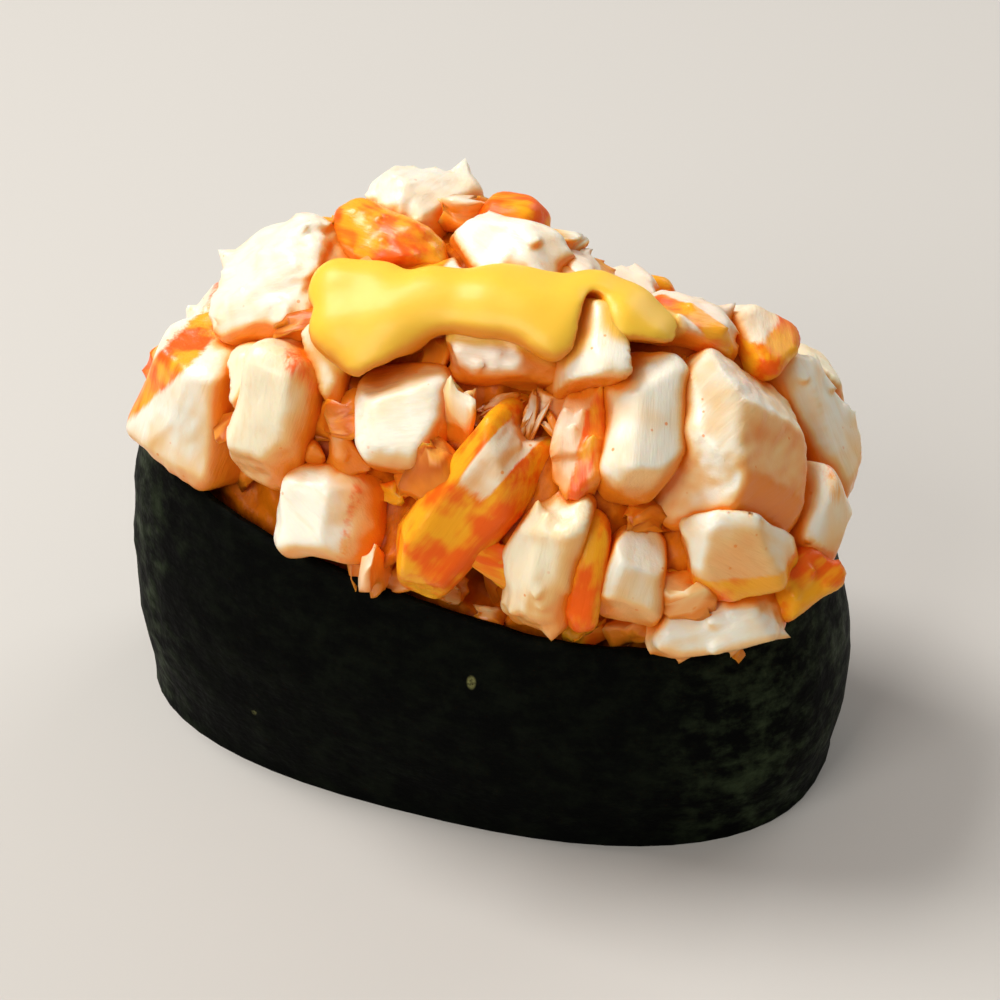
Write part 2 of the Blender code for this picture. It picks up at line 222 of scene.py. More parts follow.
@dataclass(frozen=True)
class SurimiFinish:
    """Moist crab-stick flesh: fine fibres, an orange skin, and painted shade, tan and then dressing orange, in the
    gaps, on faces turned from the key light and low on each block.
    """

    name: str
    flesh: Colour
    # The darker tone: random clouds and fibres, and the painted shade in gaps, on faces turned from the key light
    # and low on each block.
    tone_and_shade: Colour
    # The dressing colour marks real specks of dressing, and paints the deepest shade in the gaps.
    dressing: Colour = (0.88, 0.25, 0.012)
    skin: Colour = (1.0, 0.42, 0.014)
    red_skin: Colour = (0.92, 0.125, 0.003)
    sauce: Colour = (0.92, 0.52, 0.07)
    gloss: float = 0.42
    glow: tuple[float, float, float] = (1.0, 0.50, 0.26)

    def material(self) -> bpy.types.Material:
        """Makes the material, or finds it where it was made before."""
        found = bpy.data.materials.get(self.name)
        if found:
            return found
        bench = Bench(self.name)
        grain = bench.attribute("grain", "Vector")
        fibres = bench.grain(bench.stretch(grain, (0.16, 1.0, 1.0)), 1.5, 4.0)
        threads = bench.grain(bench.stretch(grain, (0.07, 1.0, 1.0)), 6.0, 2.0)
        clouds = bench.grain(grain, 0.28, 2.0)
        crevice_shade = bench.attribute("crevice_shade")
        skin = bench.attribute("skin")
        sauced = bench.attribute("sauced")
        colour = bench.blend(clouds.fade(0.42, 0.78) * 0.5, self.flesh, self.tone_and_shade)
        colour = bench.blend(fibres.fade(0.50, 0.32) * 0.18, colour, self.tone_and_shade)
        # Painted shade: the flesh darkens to its darker tone and then to dressing orange where the heap shuts it
        # in, on faces turned from the key light and low on each block, with some random clouds.
        shade = crevice_shade * 1.15 + bench.attribute("run") * 0.45 + (clouds - 0.5) * 0.30
        colour = bench.blend(shade.fade(0.14, 0.46), colour, self.tone_and_shade)
        colour = bench.blend(shade.fade(0.34, 0.74), colour, self.dressing)
        streaks = bench.blend((clouds * 0.7 + fibres * 0.3).fade(0.42, 0.60), self.skin, self.red_skin)
        worn = (skin + (fibres - 0.5) * 0.60 + (threads - 0.5) * 0.30).fade(0.30, 0.70)
        colour = bench.blend(worn, colour, streaks)
        specks = bench.cells(grain, 0.75).fade(0.13, 0.07) * clouds.fade(0.46, 0.56)
        colour = bench.blend(specks * 0.75, colour, self.dressing)
        colour = bench.blend((sauced + (clouds - 0.5) * 0.5).fade(0.25, 0.9), colour, self.sauce)
        rough = 0.20 + clouds * 0.14 + threads * 0.16
        bumps = bench.relief(threads, 0.025 * MM)
        bumps = bench.relief(fibres, 0.08 * MM, bumps)
        return bench.finish(
            Base_Color=colour,
            Roughness=rough,
            Normal=bumps,
            Subsurface_Weight=0.30,
            Subsurface_Radius=self.glow,
            Subsurface_Scale=1.6 * MM,
            Specular_IOR_Level=self.gloss,
            Coat_Weight=self.gloss * 0.4,
            Coat_Roughness=0.18,
        )


@dataclass(frozen=True)
class FillingFinish:
    """The soft flaked filling, soaked in its orange dressing, with painted shade that darkens it where it is shut
    in.
    """

    name: str = "dressed_flakes"
    pale: Colour = (0.72, 0.190, 0.004)
    tone_and_shade: Colour = (0.34, 0.050, 0.0006)

    def material(self) -> bpy.types.Material:
        """Makes the material."""
        bench = Bench(self.name)
        place = bench.place()
        lumps = bench.grain(place, 420.0, 4.0)
        strands = bench.grain(bench.stretch(place, (1.0, 0.3, 0.6)), 1500.0, 3.0)
        # Painted shade: the filling turns darker where the heap shuts it in.
        height = lumps * 0.5 + strands * 0.3 + (1 - bench.attribute("crevice_shade")) * 0.45
        colour = bench.blend(height.fade(0.44, 0.80), self.tone_and_shade, self.pale)
        bumps = bench.relief(strands, 0.12 * MM)
        return bench.finish(
            Base_Color=colour,
            Roughness=0.26 + lumps * 0.2,
            Normal=bumps,
            Specular_IOR_Level=0.10,
        )


@dataclass(frozen=True)
class SauceFinish:
    """Thick yellow sauce: smooth, rich and softly glossy, with painted shade where it is shut in and where it faces
    down.
    """

    name: str = "thick_sauce"
    light: Colour = (0.97, 0.58, 0.045)
    tone_and_shade: Colour = (0.80, 0.27, 0.008)

    def material(self) -> bpy.types.Material:
        """Makes the material."""
        bench = Bench(self.name)
        place = bench.place()
        swirls = bench.grain(bench.stretch(place, (1.0, 1.0, 1.8)), 160.0, 3.0)
        flecks = bench.grain(place, 1400.0, 2.0)
        # Painted shade: the sauce darkens where it is shut in and where it faces down.
        edge = bench.attribute("crevice_shade") * 0.8 + bench.attribute("run") * 0.6
        share = (edge + (swirls - 0.5) * 0.4).fade(0.08, 0.75)
        colour = bench.blend(share, self.light, self.tone_and_shade)
        bumps = bench.relief(swirls, 0.10 * MM)
        return bench.finish(
            Base_Color=colour,
            Roughness=0.42 + flecks * 0.10,
            Normal=bumps,
            Subsurface_Weight=0.25,
            Subsurface_Radius=(1.0, 0.48, 0.12),
            Subsurface_Scale=1.6 * MM,
            Specular_IOR_Level=0.4,
            Coat_Weight=0.12,
            Coat_Roughness=0.20,
        )


@dataclass(frozen=True)
class NoriFinish:
    """Damp nori: near black, mottled with green, with a grainy sheen and a few pale flecks; the green mottling is
    strongest towards both ends, where it is a painted sheen.
    """

    name: str = "nori"
    dark: Colour = (0.0011, 0.0014, 0.0011)
    green: Colour = (0.0300, 0.0440, 0.0200)
    fleck: Colour = (0.21, 0.21, 0.08)

    def material(self) -> bpy.types.Material:
        """Makes the material."""
        bench = Bench(self.name)
        place = bench.place()
        patches = bench.grain(place, 260.0, 6.0, 0.72)
        fronds = bench.grain(bench.stretch(place, (0.55, 0.55, 1.0)), 900.0, 4.0, 0.6)
        pores = bench.cells(place, 1500.0)
        spots = bench.cells(bench.stretch(place, (1.0, 1.0, 0.6)), 150.0)
        along = bench.node("ShaderNodeSeparateXYZ", {}, {0: place})
        # Painted sheen: the green mottling grows from a tenth to full strength towards both ends of the band.
        ends = (along * along).fade(0.017**2, 0.028**2)
        mottle_and_sheen = (patches * 0.55 + fronds * 0.45).fade(0.42, 0.68) * (0.10 + ends * 0.90)
        colour = bench.blend(mottle_and_sheen, self.dark, self.green)
        sparse = spots.fade(0.075, 0.045) * patches.fade(0.50, 0.60)
        colour = bench.blend(sparse * 0.9, colour, self.fleck)
        bumps = bench.relief(pores, 0.03 * MM)
        bumps = bench.relief(fronds, 0.16 * MM, bumps)
        return bench.finish(
            Base_Color=colour,
            Roughness=0.58 - mottle_and_sheen * 0.20 + pores * 0.10,
            Normal=bumps,
            Specular_IOR_Level=0.03,
        )


@dataclass(frozen=True)
class RiceFinish:
    """Cooked vinegared rice: translucent white grains with a faint gloss."""

    name: str = "vinegared_rice"
    white: Colour = (0.86, 0.84, 0.77)
    warm: Colour = (0.80, 0.75, 0.62)

    def material(self) -> bpy.types.Material:
        """Makes the material."""
        bench = Bench(self.name)
        place = bench.place()
        clouds = bench.grain(place, 500.0, 3.0)
        fine = bench.grain(place, 2600.0, 2.0)
        colour = bench.blend(clouds.fade(0.4, 0.7), self.white, self.warm)
        return bench.finish(
            Base_Color=colour,
            Roughness=0.34 + fine * 0.16,
            Normal=bench.relief(fine, 0.04 * MM),
            Subsurface_Weight=0.25,
            Subsurface_Radius=(1.0, 0.8, 0.55),
            Subsurface_Scale=1.0 * MM,
        )


@dataclass(frozen=True)
class FloorFinish:
    """A pale matt table top."""

    name: str = "pale_floor"
    pale: Colour = (0.60, 0.59, 0.575)
    faint: Colour = (0.57, 0.56, 0.545)

    def material(self) -> bpy.types.Material:
        """Makes the material."""
        bench = Bench(self.name)
        clouds = bench.grain(bench.place(), 6.0, 3.0)
        colour = bench.blend(clouds, self.pale, self.faint)
        return bench.finish(Base_Color=colour, Roughness=0.6 + clouds * 0.1)


class Flesh(Enum):
    """The flesh tones that a block of surimi may have."""

    # Each tone's second colour is its darker tone, which the finish also uses as painted shade.
    MILK = SurimiFinish("surimi_milk", (0.95, 0.90, 0.77), (0.94, 0.60, 0.25))
    CREAM = SurimiFinish("surimi_cream", (0.95, 0.84, 0.61), (0.90, 0.54, 0.19))
    BLUSH = SurimiFinish("surimi_blush", (0.96, 0.81, 0.66), (0.90, 0.50, 0.23))
    SKIN = SurimiFinish("surimi_skinned", (0.95, 0.84, 0.66), (0.90, 0.50, 0.20), gloss=0.16)
    SOAKED = SurimiFinish("surimi_soaked", (0.90, 0.37, 0.06), (0.58, 0.11, 0.004), gloss=0.25)


# ---------------------------------------------------------------- mesh work


def pick(piece: bpy.types.Object) -> None:
    """Selects one object alone and makes it the active one."""
    bpy.ops.object.select_all(action="DESELECT")
    piece.select_set(True)
    bpy.context.view_layer.objects.active = piece


def finish_with(piece: bpy.types.Object, kind: str, **settings: object) -> None:
    """Adds a modifier with its settings and applies it.

    Args:
        piece: The object to change.
        kind: The modifier's type.
        **settings: The modifier's own settings.
    """
    pick(piece)
    modifier = piece.modifiers.new(kind.lower(), kind)
    for name, value in settings.items():
        setattr(modifier, name, value)
    bpy.ops.object.modifier_apply(modifier=modifier.name)


def copy_node(node: str, name: str) -> bpy.types.Object:
    """Copies a node of the frame and merges its loose triangles.

    Args:
        node: The node's name.
        name: The new piece's name.

    Returns:
        The copy, with a mesh of its own.
    """
    piece = bpy.data.objects.new(name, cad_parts[node].data.copy())
    piece.data.name = name
    bpy.context.scene.collection.objects.link(piece)
    piece.data.materials.clear()
    pick(piece)
    bpy.ops.object.mode_set(mode="EDIT")
    bpy.ops.mesh.select_all(action="SELECT")
    bpy.ops.mesh.remove_doubles(threshold=0.001 * MM)
    bpy.ops.object.mode_set(mode="OBJECT")
    return piece


def points_of(piece: bpy.types.Object) -> np.ndarray:
    """The places of an object's vertices, one row each."""
    places = np.empty(len(piece.data.vertices) * 3)
    piece.data.vertices.foreach_get("co", places)
    return places.reshape(-1, 3)


def normals_of(piece: bpy.types.Object) -> np.ndarray:
    """The directions in which an object's vertices face, one row each."""
    ways = np.empty(len(piece.data.vertices) * 3)
    piece.data.vertex_normals.foreach_get("vector", ways)
    return ways.reshape(-1, 3)


def move_points(piece: bpy.types.Object, places: np.ndarray) -> None:
    """Puts an object's vertices at new places."""
    piece.data.vertices.foreach_set("co", places.ravel())
    piece.data.update()


def note(piece: bpy.types.Object, name: str, values: np.ndarray) -> None:
    """Stores one number, or one vector, for each vertex of an object."""
    vectors = values.ndim == 2
    kind = "FLOAT_VECTOR" if vectors else "FLOAT"
    layer = piece.data.attributes.new(name, kind, "POINT")
    layer.data.foreach_set("vector" if vectors else "value", values.astype(np.float32).ravel())


def smooth_step(values: np.ndarray | float, low: float, high: float) -> np.ndarray | float:
    """Runs smoothly from 0 at low to 1 at high."""
    share = np.clip((values - low) / (high - low), 0.0, 1.0)
    return share * share * (3 - 2 * share)


def soft_noise(places: np.ndarray, scale: tuple[float, float, float] | float) -> np.ndarray:
    """Noise from about -1 to 1 at each place.

    Args:
        places: The places, in any unit.
        scale: How many swells there are for each unit, along each axis.

    Returns:
        One number for each place.
    """
    scaled = places * np.asarray(scale)
    return np.array([noise.noise(Vector(place)) for place in scaled])


def even_out(piece: bpy.types.Object, values: np.ndarray, rounds: int = 2) -> np.ndarray:
    """Averages a number over neighbouring vertices."""
    ends = np.empty(len(piece.data.edges) * 2, dtype=np.int64)
    piece.data.edges.foreach_get("vertices", ends)
    first, second = ends.reshape(-1, 2).T
    counts = np.bincount(ends, minlength=len(values)) + 1.0
    for _ in range(rounds):
        total = values.copy()
        np.add.at(total, first, values[second])
        np.add.at(total, second, values[first])
        values = total / counts
    return values


def shade_turned_from_key(piece: bpy.types.Object) -> np.ndarray:
    """Painted shade at each vertex: most where a face looks down and right, away from the key light."""
    # This direction points at the key light.
    towards_key = np.array((-0.55, 0.15, 0.82))
    return smooth_step(normals_of(piece) @ towards_key, 0.45, -0.55)


def settle(piece: bpy.types.Object, finish: bpy.types.Material, slot: str, *nodes: str) -> None:
    """Hands a finished piece over to the frame: its finish, its body and the nodes it stands for.

    Args:
        piece: The finished object.
        finish: Its material.
        slot: The record's slot for that material; it is not used.
        *nodes: The nodes that the piece replaces, if any.
    """
    piece.data.materials.clear()
    piece.data.materials.append(finish)
    pick(piece)
    bpy.ops.object.shade_smooth()
    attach(piece, BODY)
    if nodes:
        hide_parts(*nodes)
    log.info("%s: %d faces, stands for %s", piece.name, len(piece.data.polygons), nodes or "itself")


# ---------------------------------------------------------------- the heap as a whole


@dataclass(frozen=True)
class Heap:
    """The heap's heart and reach, from which every piece's outward direction is found."""

    heart: Vector
    reach: Vector

    @staticmethod
    def of_frame() -> "Heap":
        """Measures the heap on the frame's nodes."""
        corners = [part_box(name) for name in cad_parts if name.startswith("surimi")]
        low = Vector([min(box[0][axis] for box in corners) for axis in range(3)])
        high = Vector([max(box[1][axis] for box in corners) for axis in range(3)])
        reach = (high - low) / 2
        return Heap(Vector(((low.x + high.x) / 2, (low.y + high.y) / 2, low.z)), Vector((*reach.xy, 2 * reach.z)))

    def outward(self, place: Vector) -> Vector:
        """The direction straight out of the heap at a place."""
        away = place - self.heart
        return Vector([away[axis] / self.reach[axis] ** 2 for axis in range(3)]).normalized()


def unit_star() -> list[Vector]:
    """The twelve evenly spread directions of an icosahedron's corners."""
    golden = (1 + math.sqrt(5)) / 2
    star = []
    for one in (-1, 1):
        for long in (-golden, golden):
            star += [Vector((0, one, long)), Vector((one, long, 0)), Vector((long, 0, one))]
    return [way.normalized() for way in star]


class Crowding:
    """Tells how closely other pieces shut in a surface, from 0 in the open to 1 when buried; the finishes paint it
    as shade in gaps and crevices.
    """

    def __init__(self, pieces: Iterable[bpy.types.Object], reach: float) -> None:
        """Collects the surfaces.

        Args:
            pieces: Everything that may stand in the way.
            reach: How far away it still counts.
        """
        corners: list[Vector] = []
        faces: list[tuple[int, ...]] = []
        for piece in pieces:
            start = len(corners)
            corners += [vert.co.copy() for vert in piece.data.vertices]
            faces += [tuple(start + corner for corner in face.vertices) for face in piece.data.polygons]
        self.tree = BVHTree.FromPolygons(corners, faces)
        self.reach = reach
        self.star = unit_star()

    def over(self, piece: bpy.types.Object) -> np.ndarray:
        """Measures the crowding at each vertex of a piece."""
        result = np.zeros(len(piece.data.vertices))
        lift = 0.12 * MM
        for index, (place, way) in enumerate(zip(points_of(piece), normals_of(piece), strict=True)):
            normal = Vector(way)
            start = Vector(place) + normal * lift
            shut = 0.0
            for ray in self.star:
                heading = normal * 1.08 + ray
                distance = self.tree.ray_cast(start, heading, self.reach)[3]
                if distance is not None:
                    shut += 1.0 - 0.55 * distance / self.reach
            result[index] = shut / len(self.star)
        return even_out(piece, result)


# ---------------------------------------------------------------- flakes


@dataclass
class FlakeMould:
    """One flake of flesh, a metre long, which is copied at each flake's own size."""

    cuts: int = 2
    taper: float = 0.45
    rounding: int = 2

    def build(self) -> FlakeShape:
        """Shapes the flake.

        Returns:
            Its corners and its faces.
        """
        bpy.ops.object.select_all(action="DESELECT")
        bpy.ops.mesh.primitive_cube_add(size=1.0)
        mould = bpy.context.active_object
        bpy.ops.object.mode_set(mode="EDIT")
        bpy.ops.mesh.select_all(action="SELECT")
        bpy.ops.mesh.subdivide(number_cuts=self.cuts)
        bpy.ops.object.mode_set(mode="OBJECT")
        finish_with(mould, "SMOOTH", factor=0.5, iterations=self.rounding)
        places = points_of(mould)
        narrow = 1 - self.taper * np.abs(places[:, :1] * 2) ** 2
        places[:, 1:] *= narrow
        faces = [tuple(face.vertices) for face in mould.data.polygons]
        bpy.data.objects.remove(mould)
        return places, faces


@dataclass(frozen=True)
class Flake:
    """Where one flake lies: its middle, its length's and its face's directions, and its size."""

    middle: Vector
    along: Vector
    facing: Vector
    length: float
    width: float
    thickness: float
    curl: float


class FlakePile:
    """A piece of many flakes, copied from one mould."""

    def __init__(self, name: str, mould: FlakeShape) -> None:
        """Starts an empty pile.

        Args:
            name: The piece's name.
            mould: The corners and faces of one flake.
        """
        self.name = name
        self.corners, self.mould_faces = mould
        self.flakes: list[Flake] = []

    def add(self, flake: Flake) -> None:
        """Adds one flake."""
        self.flakes.append(flake)

    def add_tuft(self, root: Vector, along: Vector, facing: Vector, length: float, chance: random.Random) -> None:
        """Adds a few fibres that fan out from one root.

        Args:
            root: Where the fibres start.
            along: The way that they point.
            facing: The way that the tuft's broad side faces.
            length: The longest fibre's length.
            chance: The source of the differences between them.
        """
        across = facing.cross(along).normalized()
        for _ in range(chance.randint(2, 4)):
            way = (along + across * chance.uniform(-0.25, 0.25) + facing * chance.uniform(-0.05, 0.15)).normalized()
            long = length * chance.uniform(0.55, 1.0)
            start = root + across * chance.uniform(-0.8, 0.8) * MM
            width = chance.uniform(0.35, 0.70) * MM
            curl = chance.uniform(-0.14, 0.05)
            self.add(Flake(start + way * long * 0.30, way, facing, long, width, 0.6 * width, curl))

    def build(self, gnarl: float = 0.0) -> bpy.types.Object:
        """Joins the flakes into one mesh, with the run of their fibres noted on it.

        Args:
            gnarl: How unlike one another they are, as a share of their size.

        Returns:
            The pile's object.
        """
        places, faces, grains = [], [], []
        for index, flake in enumerate(self.flakes):
            start = index * len(self.corners)
            size = np.array([flake.length, flake.width, flake.thickness])
            shape = self.corners * size
            grains.append(shape / MM + index * 1.7)
            shape[:, 2] += flake.curl * flake.length * (self.corners[:, 0] * 2) ** 2
            wander = soft_noise(self.corners + index * 0.37, 1.6)
            shape[:, 1] += wander * flake.width * 0.45
            for axis in range(3 if gnarl else 0):
                lumps = soft_noise(self.corners + index * 0.73 + axis * 5.1, 1.9)
                shape[:, axis] += gnarl * lumps * size[axis]
            across = flake.facing.cross(flake.along).normalized()
            facing = flake.along.cross(across).normalized()
            axes = np.array([flake.along.normalized(), across, facing])
            places.append(shape @ axes + np.array(flake.middle))
            faces += [tuple(start + corner for corner in face) for face in self.mould_faces]
        mesh = bpy.data.meshes.new(self.name)
        mesh.from_pydata(np.vstack(places).tolist(), [], faces)
        piece = bpy.data.objects.new(self.name, mesh)
        bpy.context.scene.collection.objects.link(piece)
        note(piece, "grain", np.vstack(grains))
        return piece


# ---------------------------------------------------------------- surimi


class Side(Enum):
    """Ways that a patch of skin may face, as an eater in front of the sushi sees them."""

    LEFT = (-1.0, 0.0, 0.0)
    RIGHT = (1.0, 0.0, 0.0)
    TOP = (0.0, 0.0, 1.0)
    FOOT = (0.0, 0.0, -1.0)
    FRONT = (0.0, -1.0, 0.0)
    BACK = (0.0, 1.0, 0.0)
    TOP_LEFT = (-0.75, 0.0, 0.66)
    TOP_RIGHT = (0.75, 0.0, 0.66)
    FOOT_LEFT = (-0.75, 0.0, -0.66)
    FOOT_RIGHT = (0.75, 0.0, -0.66)


@dataclass(frozen=True)
class Patch:
    """A patch of orange skin, from one share of a block's reach towards a side to another.

    The shares run from -1 at the far edge to 1 at the near one. strength is 1 for full skin
    and less for a faint stain.
    """

    side: Side
    start: float = 0.2
    end: float = 3.0
    strength: float = 1.0


@dataclass(frozen=True)
class BlockLook:
    """What sets one block of surimi apart: its tone, its skin, how ragged and how full it is."""

    flesh: Flesh = Flesh.MILK
    patches: tuple[Patch, ...] = ()
    ragged: float = 0.25
    fullness: float = 1.0
    pale_stripe: bool = False
    # Painted shade over the block's outer face.
    outer_face_shade: float = 0.0
    slim: float = 1.0
    short: float = 1.0
    proud: float = 0.0
    moved: tuple[float, float, float] = (0.0, 0.0, 0.0)
    spikes: tuple[tuple[float, float, float], ...] = ()


ALL_OVER = Patch(Side.TOP, -3.0)
LOOKS = {
    1: BlockLook(Flesh.SKIN, (ALL_OVER,), pale_stripe=True, slim=0.78),
    3: BlockLook(patches=(Patch(Side.RIGHT, 0.15, 0.35, 0.5),), outer_face_shade=0.1),
    4: BlockLook(patches=(Patch(Side.TOP_LEFT, 0.42, 0.74),)),
    5: BlockLook(ragged=0.15, fullness=0.4),
    6: BlockLook(Flesh.SKIN, (ALL_OVER,)),
    7: BlockLook(ragged=0.5, slim=0.8, moved=(0.2, 0.0, -0.5)),
    8: BlockLook(Flesh.BLUSH, (Patch(Side.RIGHT, 0.0, 0.6, 0.8),), 0.5),
    9: BlockLook(patches=(Patch(Side.FOOT_LEFT, 0.75, 3.0, 0.45),), outer_face_shade=0.6),
    10: BlockLook(
        patches=(Patch(Side.FOOT, 0.12, 3.0, 0.85),),
        ragged=0.35,
        outer_face_shade=0.2,
        short=1.15,
        slim=1.25,
        proud=0.8,
        moved=(-0.9, -0.3, -0.6),
    ),
    11: BlockLook(Flesh.BLUSH, ragged=0.9, fullness=0.4, outer_face_shade=0.3),
    13: BlockLook(Flesh.SKIN, (ALL_OVER,), 0.5),
    14: BlockLook(patches=(Patch(Side.LEFT, 0.72, 3.0, 0.5),), ragged=0.12, short=0.84, proud=0.5),
    16: BlockLook(ragged=0.15),
    17: BlockLook(ragged=1.0, spikes=((-0.84, 0.08, 0.53),)),
    18: BlockLook(Flesh.BLUSH, (Patch(Side.RIGHT, 0.1, 0.7, 0.7),), 0.8, fullness=0.8, outer_face_shade=0.5),
    19: BlockLook(Flesh.CREAM),
    20: BlockLook(ragged=0.6, spikes=((0.73, -0.21, -0.65),)),
    21: BlockLook(Flesh.BLUSH, ragged=0.6, fullness=0.3, outer_face_shade=0.8),
    22: BlockLook(Flesh.CREAM),
    23: BlockLook(Flesh.CREAM, fullness=0.3, outer_face_shade=1.0),
    24: BlockLook(Flesh.BLUSH, ragged=0.4, fullness=0.4, outer_face_shade=0.8),
    25: BlockLook(ragged=0.1, slim=1.25),
    26: BlockLook(
        Flesh.BLUSH,
        (Patch(Side.FRONT, 0.05, 0.50),),
        ragged=0.7,
        spikes=((0.50, 0.64, 0.57), (0.93, 0.37, 0.0)),
    ),
    27: BlockLook(Flesh.SKIN, (Patch(Side.FOOT, -0.45, 3.0),), 0.3),
    28: BlockLook(ragged=0.9, short=1.12, moved=(-1.0, -0.4, -0.2), spikes=((0.07, 0.63, 0.77),)),
    30: BlockLook(Flesh.SKIN, (ALL_OVER,)),
    31: BlockLook(Flesh.BLUSH, ragged=0.7, slim=1.3, proud=0.9),
    32: BlockLook(ragged=0.5),
    34: BlockLook(Flesh.BLUSH, (Patch(Side.TOP, -0.05, 0.62),), ragged=0.6),
    35: BlockLook(Flesh.BLUSH, (Patch(Side.TOP, 0.1, 0.5, 0.9),), 0.7, slim=1.2),
    51: BlockLook(Flesh.BLUSH, ragged=0.6, short=0.75, slim=0.8, proud=-1.4, moved=(-1.8, 0.0, -0.4)),
}


@dataclass
class SurimiBlock:
    """One chopped block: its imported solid, softened, fibred and marked with its skin."""

    node: str
    heap: Heap
    look: BlockLook
    seed: int
    voxel: float = 0.28 * MM
    rounding: int = 5
    regain: float = 0.42 * MM
    swell: float = 0.24 * MM
    strand: float = 0.10 * MM
    tear: float = 0.34 * MM
    cuts: int = 4
    cut_depth: tuple[float, float] = (0.72, 0.96)
    lean: float = 0.35 * MM
    taper: float = 0.15
    warp: float = 0.55 * MM
    # Painted shade on the lower part of the block.
    low_block_shade: float = 0.45
    torn_from: float = 0.4
    points: int = 26
    notch: float = 1.2 * MM
    piece: bpy.types.Object = field(init=False)
    grain: np.ndarray = field(init=False)

    def build(self) -> bpy.types.Object:
        """Softens the solid, slices and loosens it, and tears it where it is ragged.

        Returns:
            The block's object.
        """
        solid = points_of(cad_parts[self.node])
        self.middle = Vector(solid.mean(axis=0))
        self.outward = self.heap.outward(self.middle)
        self.along = self.longest_way(solid - solid.mean(axis=0))
        self.across = self.outward.cross(self.along)
        self.piece = copy_node(self.node, self.node.replace("surimi", "surimi_block"))
        finish_with(self.piece, "REMESH", mode="VOXEL", voxel_size=self.voxel)
        finish_with(self.piece, "SMOOTH", factor=0.5, iterations=self.rounding)
        self.slice_corners()
        finish_with(self.piece, "SMOOTH", factor=0.5, iterations=3)
        self.loosen()
        self.raise_fibres()
        self.pull_points()
        self.grain = self.grain_over(points_of(self.piece))
        return self.piece

    def slice_corners(self) -> None:
        """Slices a few outer corners flat, as a knife does."""
        chance = random.Random(self.seed * 41)
        places = points_of(self.piece) - np.array(self.middle)
        for _ in range(self.cuts + round(5 * self.look.ragged)):
            turn = chance.uniform(0, 2 * math.pi)
            aside = self.along * math.cos(turn) + self.across * math.sin(turn)
            way = np.array((aside + self.outward * chance.uniform(0.2, 1.1)).normalized())
            reach = places @ way
            beyond = np.maximum(reach - reach.max() * chance.uniform(*self.cut_depth), 0.0)
            places = places - np.outer(beyond, way) * 0.92
        move_points(self.piece, places + np.array(self.middle))

    def grain_over(self, places: np.ndarray) -> np.ndarray:
        """Each place in millimetres along the fibres, across them and outwards."""
        axes = np.array([self.along, self.across, self.outward])
        offset = np.array([self.seed * 7.3, self.seed * 3.1, self.seed * 5.7])
        return (places - np.array(self.middle)) @ axes.T / MM + offset

    def pull_points(self) -> None:
        """Pulls torn points out of the ends and the outer face of a ragged block."""
        chance = random.Random(self.seed * 29)
        places, ways = points_of(self.piece), normals_of(self.piece)
        outward, along = np.array(self.outward), np.array(self.along)
        ends = (np.abs(ways @ along) > 0.55) & (ways @ outward > -0.3)
        shown = list(np.flatnonzero(ends | (ways @ outward > 0.35)))
        points = []
        if self.look.ragged >= self.torn_from:
            for index in chance.sample(shown, min(len(shown), round(self.points * self.look.ragged))):
                heading = along if ways[index] @ along > 0 else -along
                way = heading + ways[index] * chance.uniform(0.3, 1.2)
                points.append((index, way, chance.uniform(0.6, 1.3) * MM, chance.uniform(0.3, 0.8) * MM))
        for spike in self.look.spikes:
            points.append((int(np.argmax(places @ np.array(spike))), np.array(spike), 1.0 * MM, 1.0 * MM))
        moved = places.copy()
        for index, way, reach, height in points:
            share = np.clip(1 - np.linalg.norm(places - places[index], axis=1) / reach, 0.0, 1.0)
            moved += np.outer(share ** 1.3 * height, way / np.linalg.norm(way))
        move_points(self.piece, moved)

    def loosen(self) -> None:
        """Tapers, leans and warps the block a little, as a knife and a spoon leave it."""
        chance = random.Random(self.seed * 17)
        axes = np.array([self.along, self.across, self.outward])
        local = (points_of(self.piece) - np.array(self.middle)) @ axes.T
        shares = local / np.abs(local).max(axis=0)
        outer = smooth_step(shares[:, 2], -0.6, 0.8)
        lean = np.array([chance.uniform(-1, 1), chance.uniform(-1, 1)]) * self.lean
        local[:, 0] *= self.look.short
        local[:, 1] *= self.look.slim
        local[:, 2] += self.look.proud * MM
        local += axes @ np.array(self.look.moved) * MM
        local[:, 1] *= 1 + chance.uniform(-self.taper, self.taper) * shares[:, 0]
        local[:, 2] += outer * (shares[:, :2] @ lean)
        if self.look.pale_stripe:
            upper = shares[:, 0] * (1 if self.along.z > 0 else -1)
            inner = 1 - smooth_step(np.abs(shares[:, 1]), 0.15, 0.60)
            dip = self.notch * smooth_step(upper, 0.25, 1.0) * inner
            local[:, 0] -= dip * (1 if self.along.z > 0 else -1)
            local[:, 2] -= 0.5 * dip * outer
        for axis in range(3):
            local[:, axis] += self.warp * soft_noise(local / MM + self.seed * 9.1 + axis * 31.7, 0.20)
        move_points(self.piece, local @ axes + np.array(self.middle))

    def longest_way(self, spread: np.ndarray) -> Vector:
        """The direction in the heap's surface along which the block is longest.

        Args:
            spread: The block's corners, from its middle.

        Returns:
            The direction of its fibres.
        """
        out = np.array(self.outward)
        flat = spread - np.outer(spread @ out, out)
        return Vector(np.linalg.svd(flat, full_matrices=False)[2][0]).normalized()

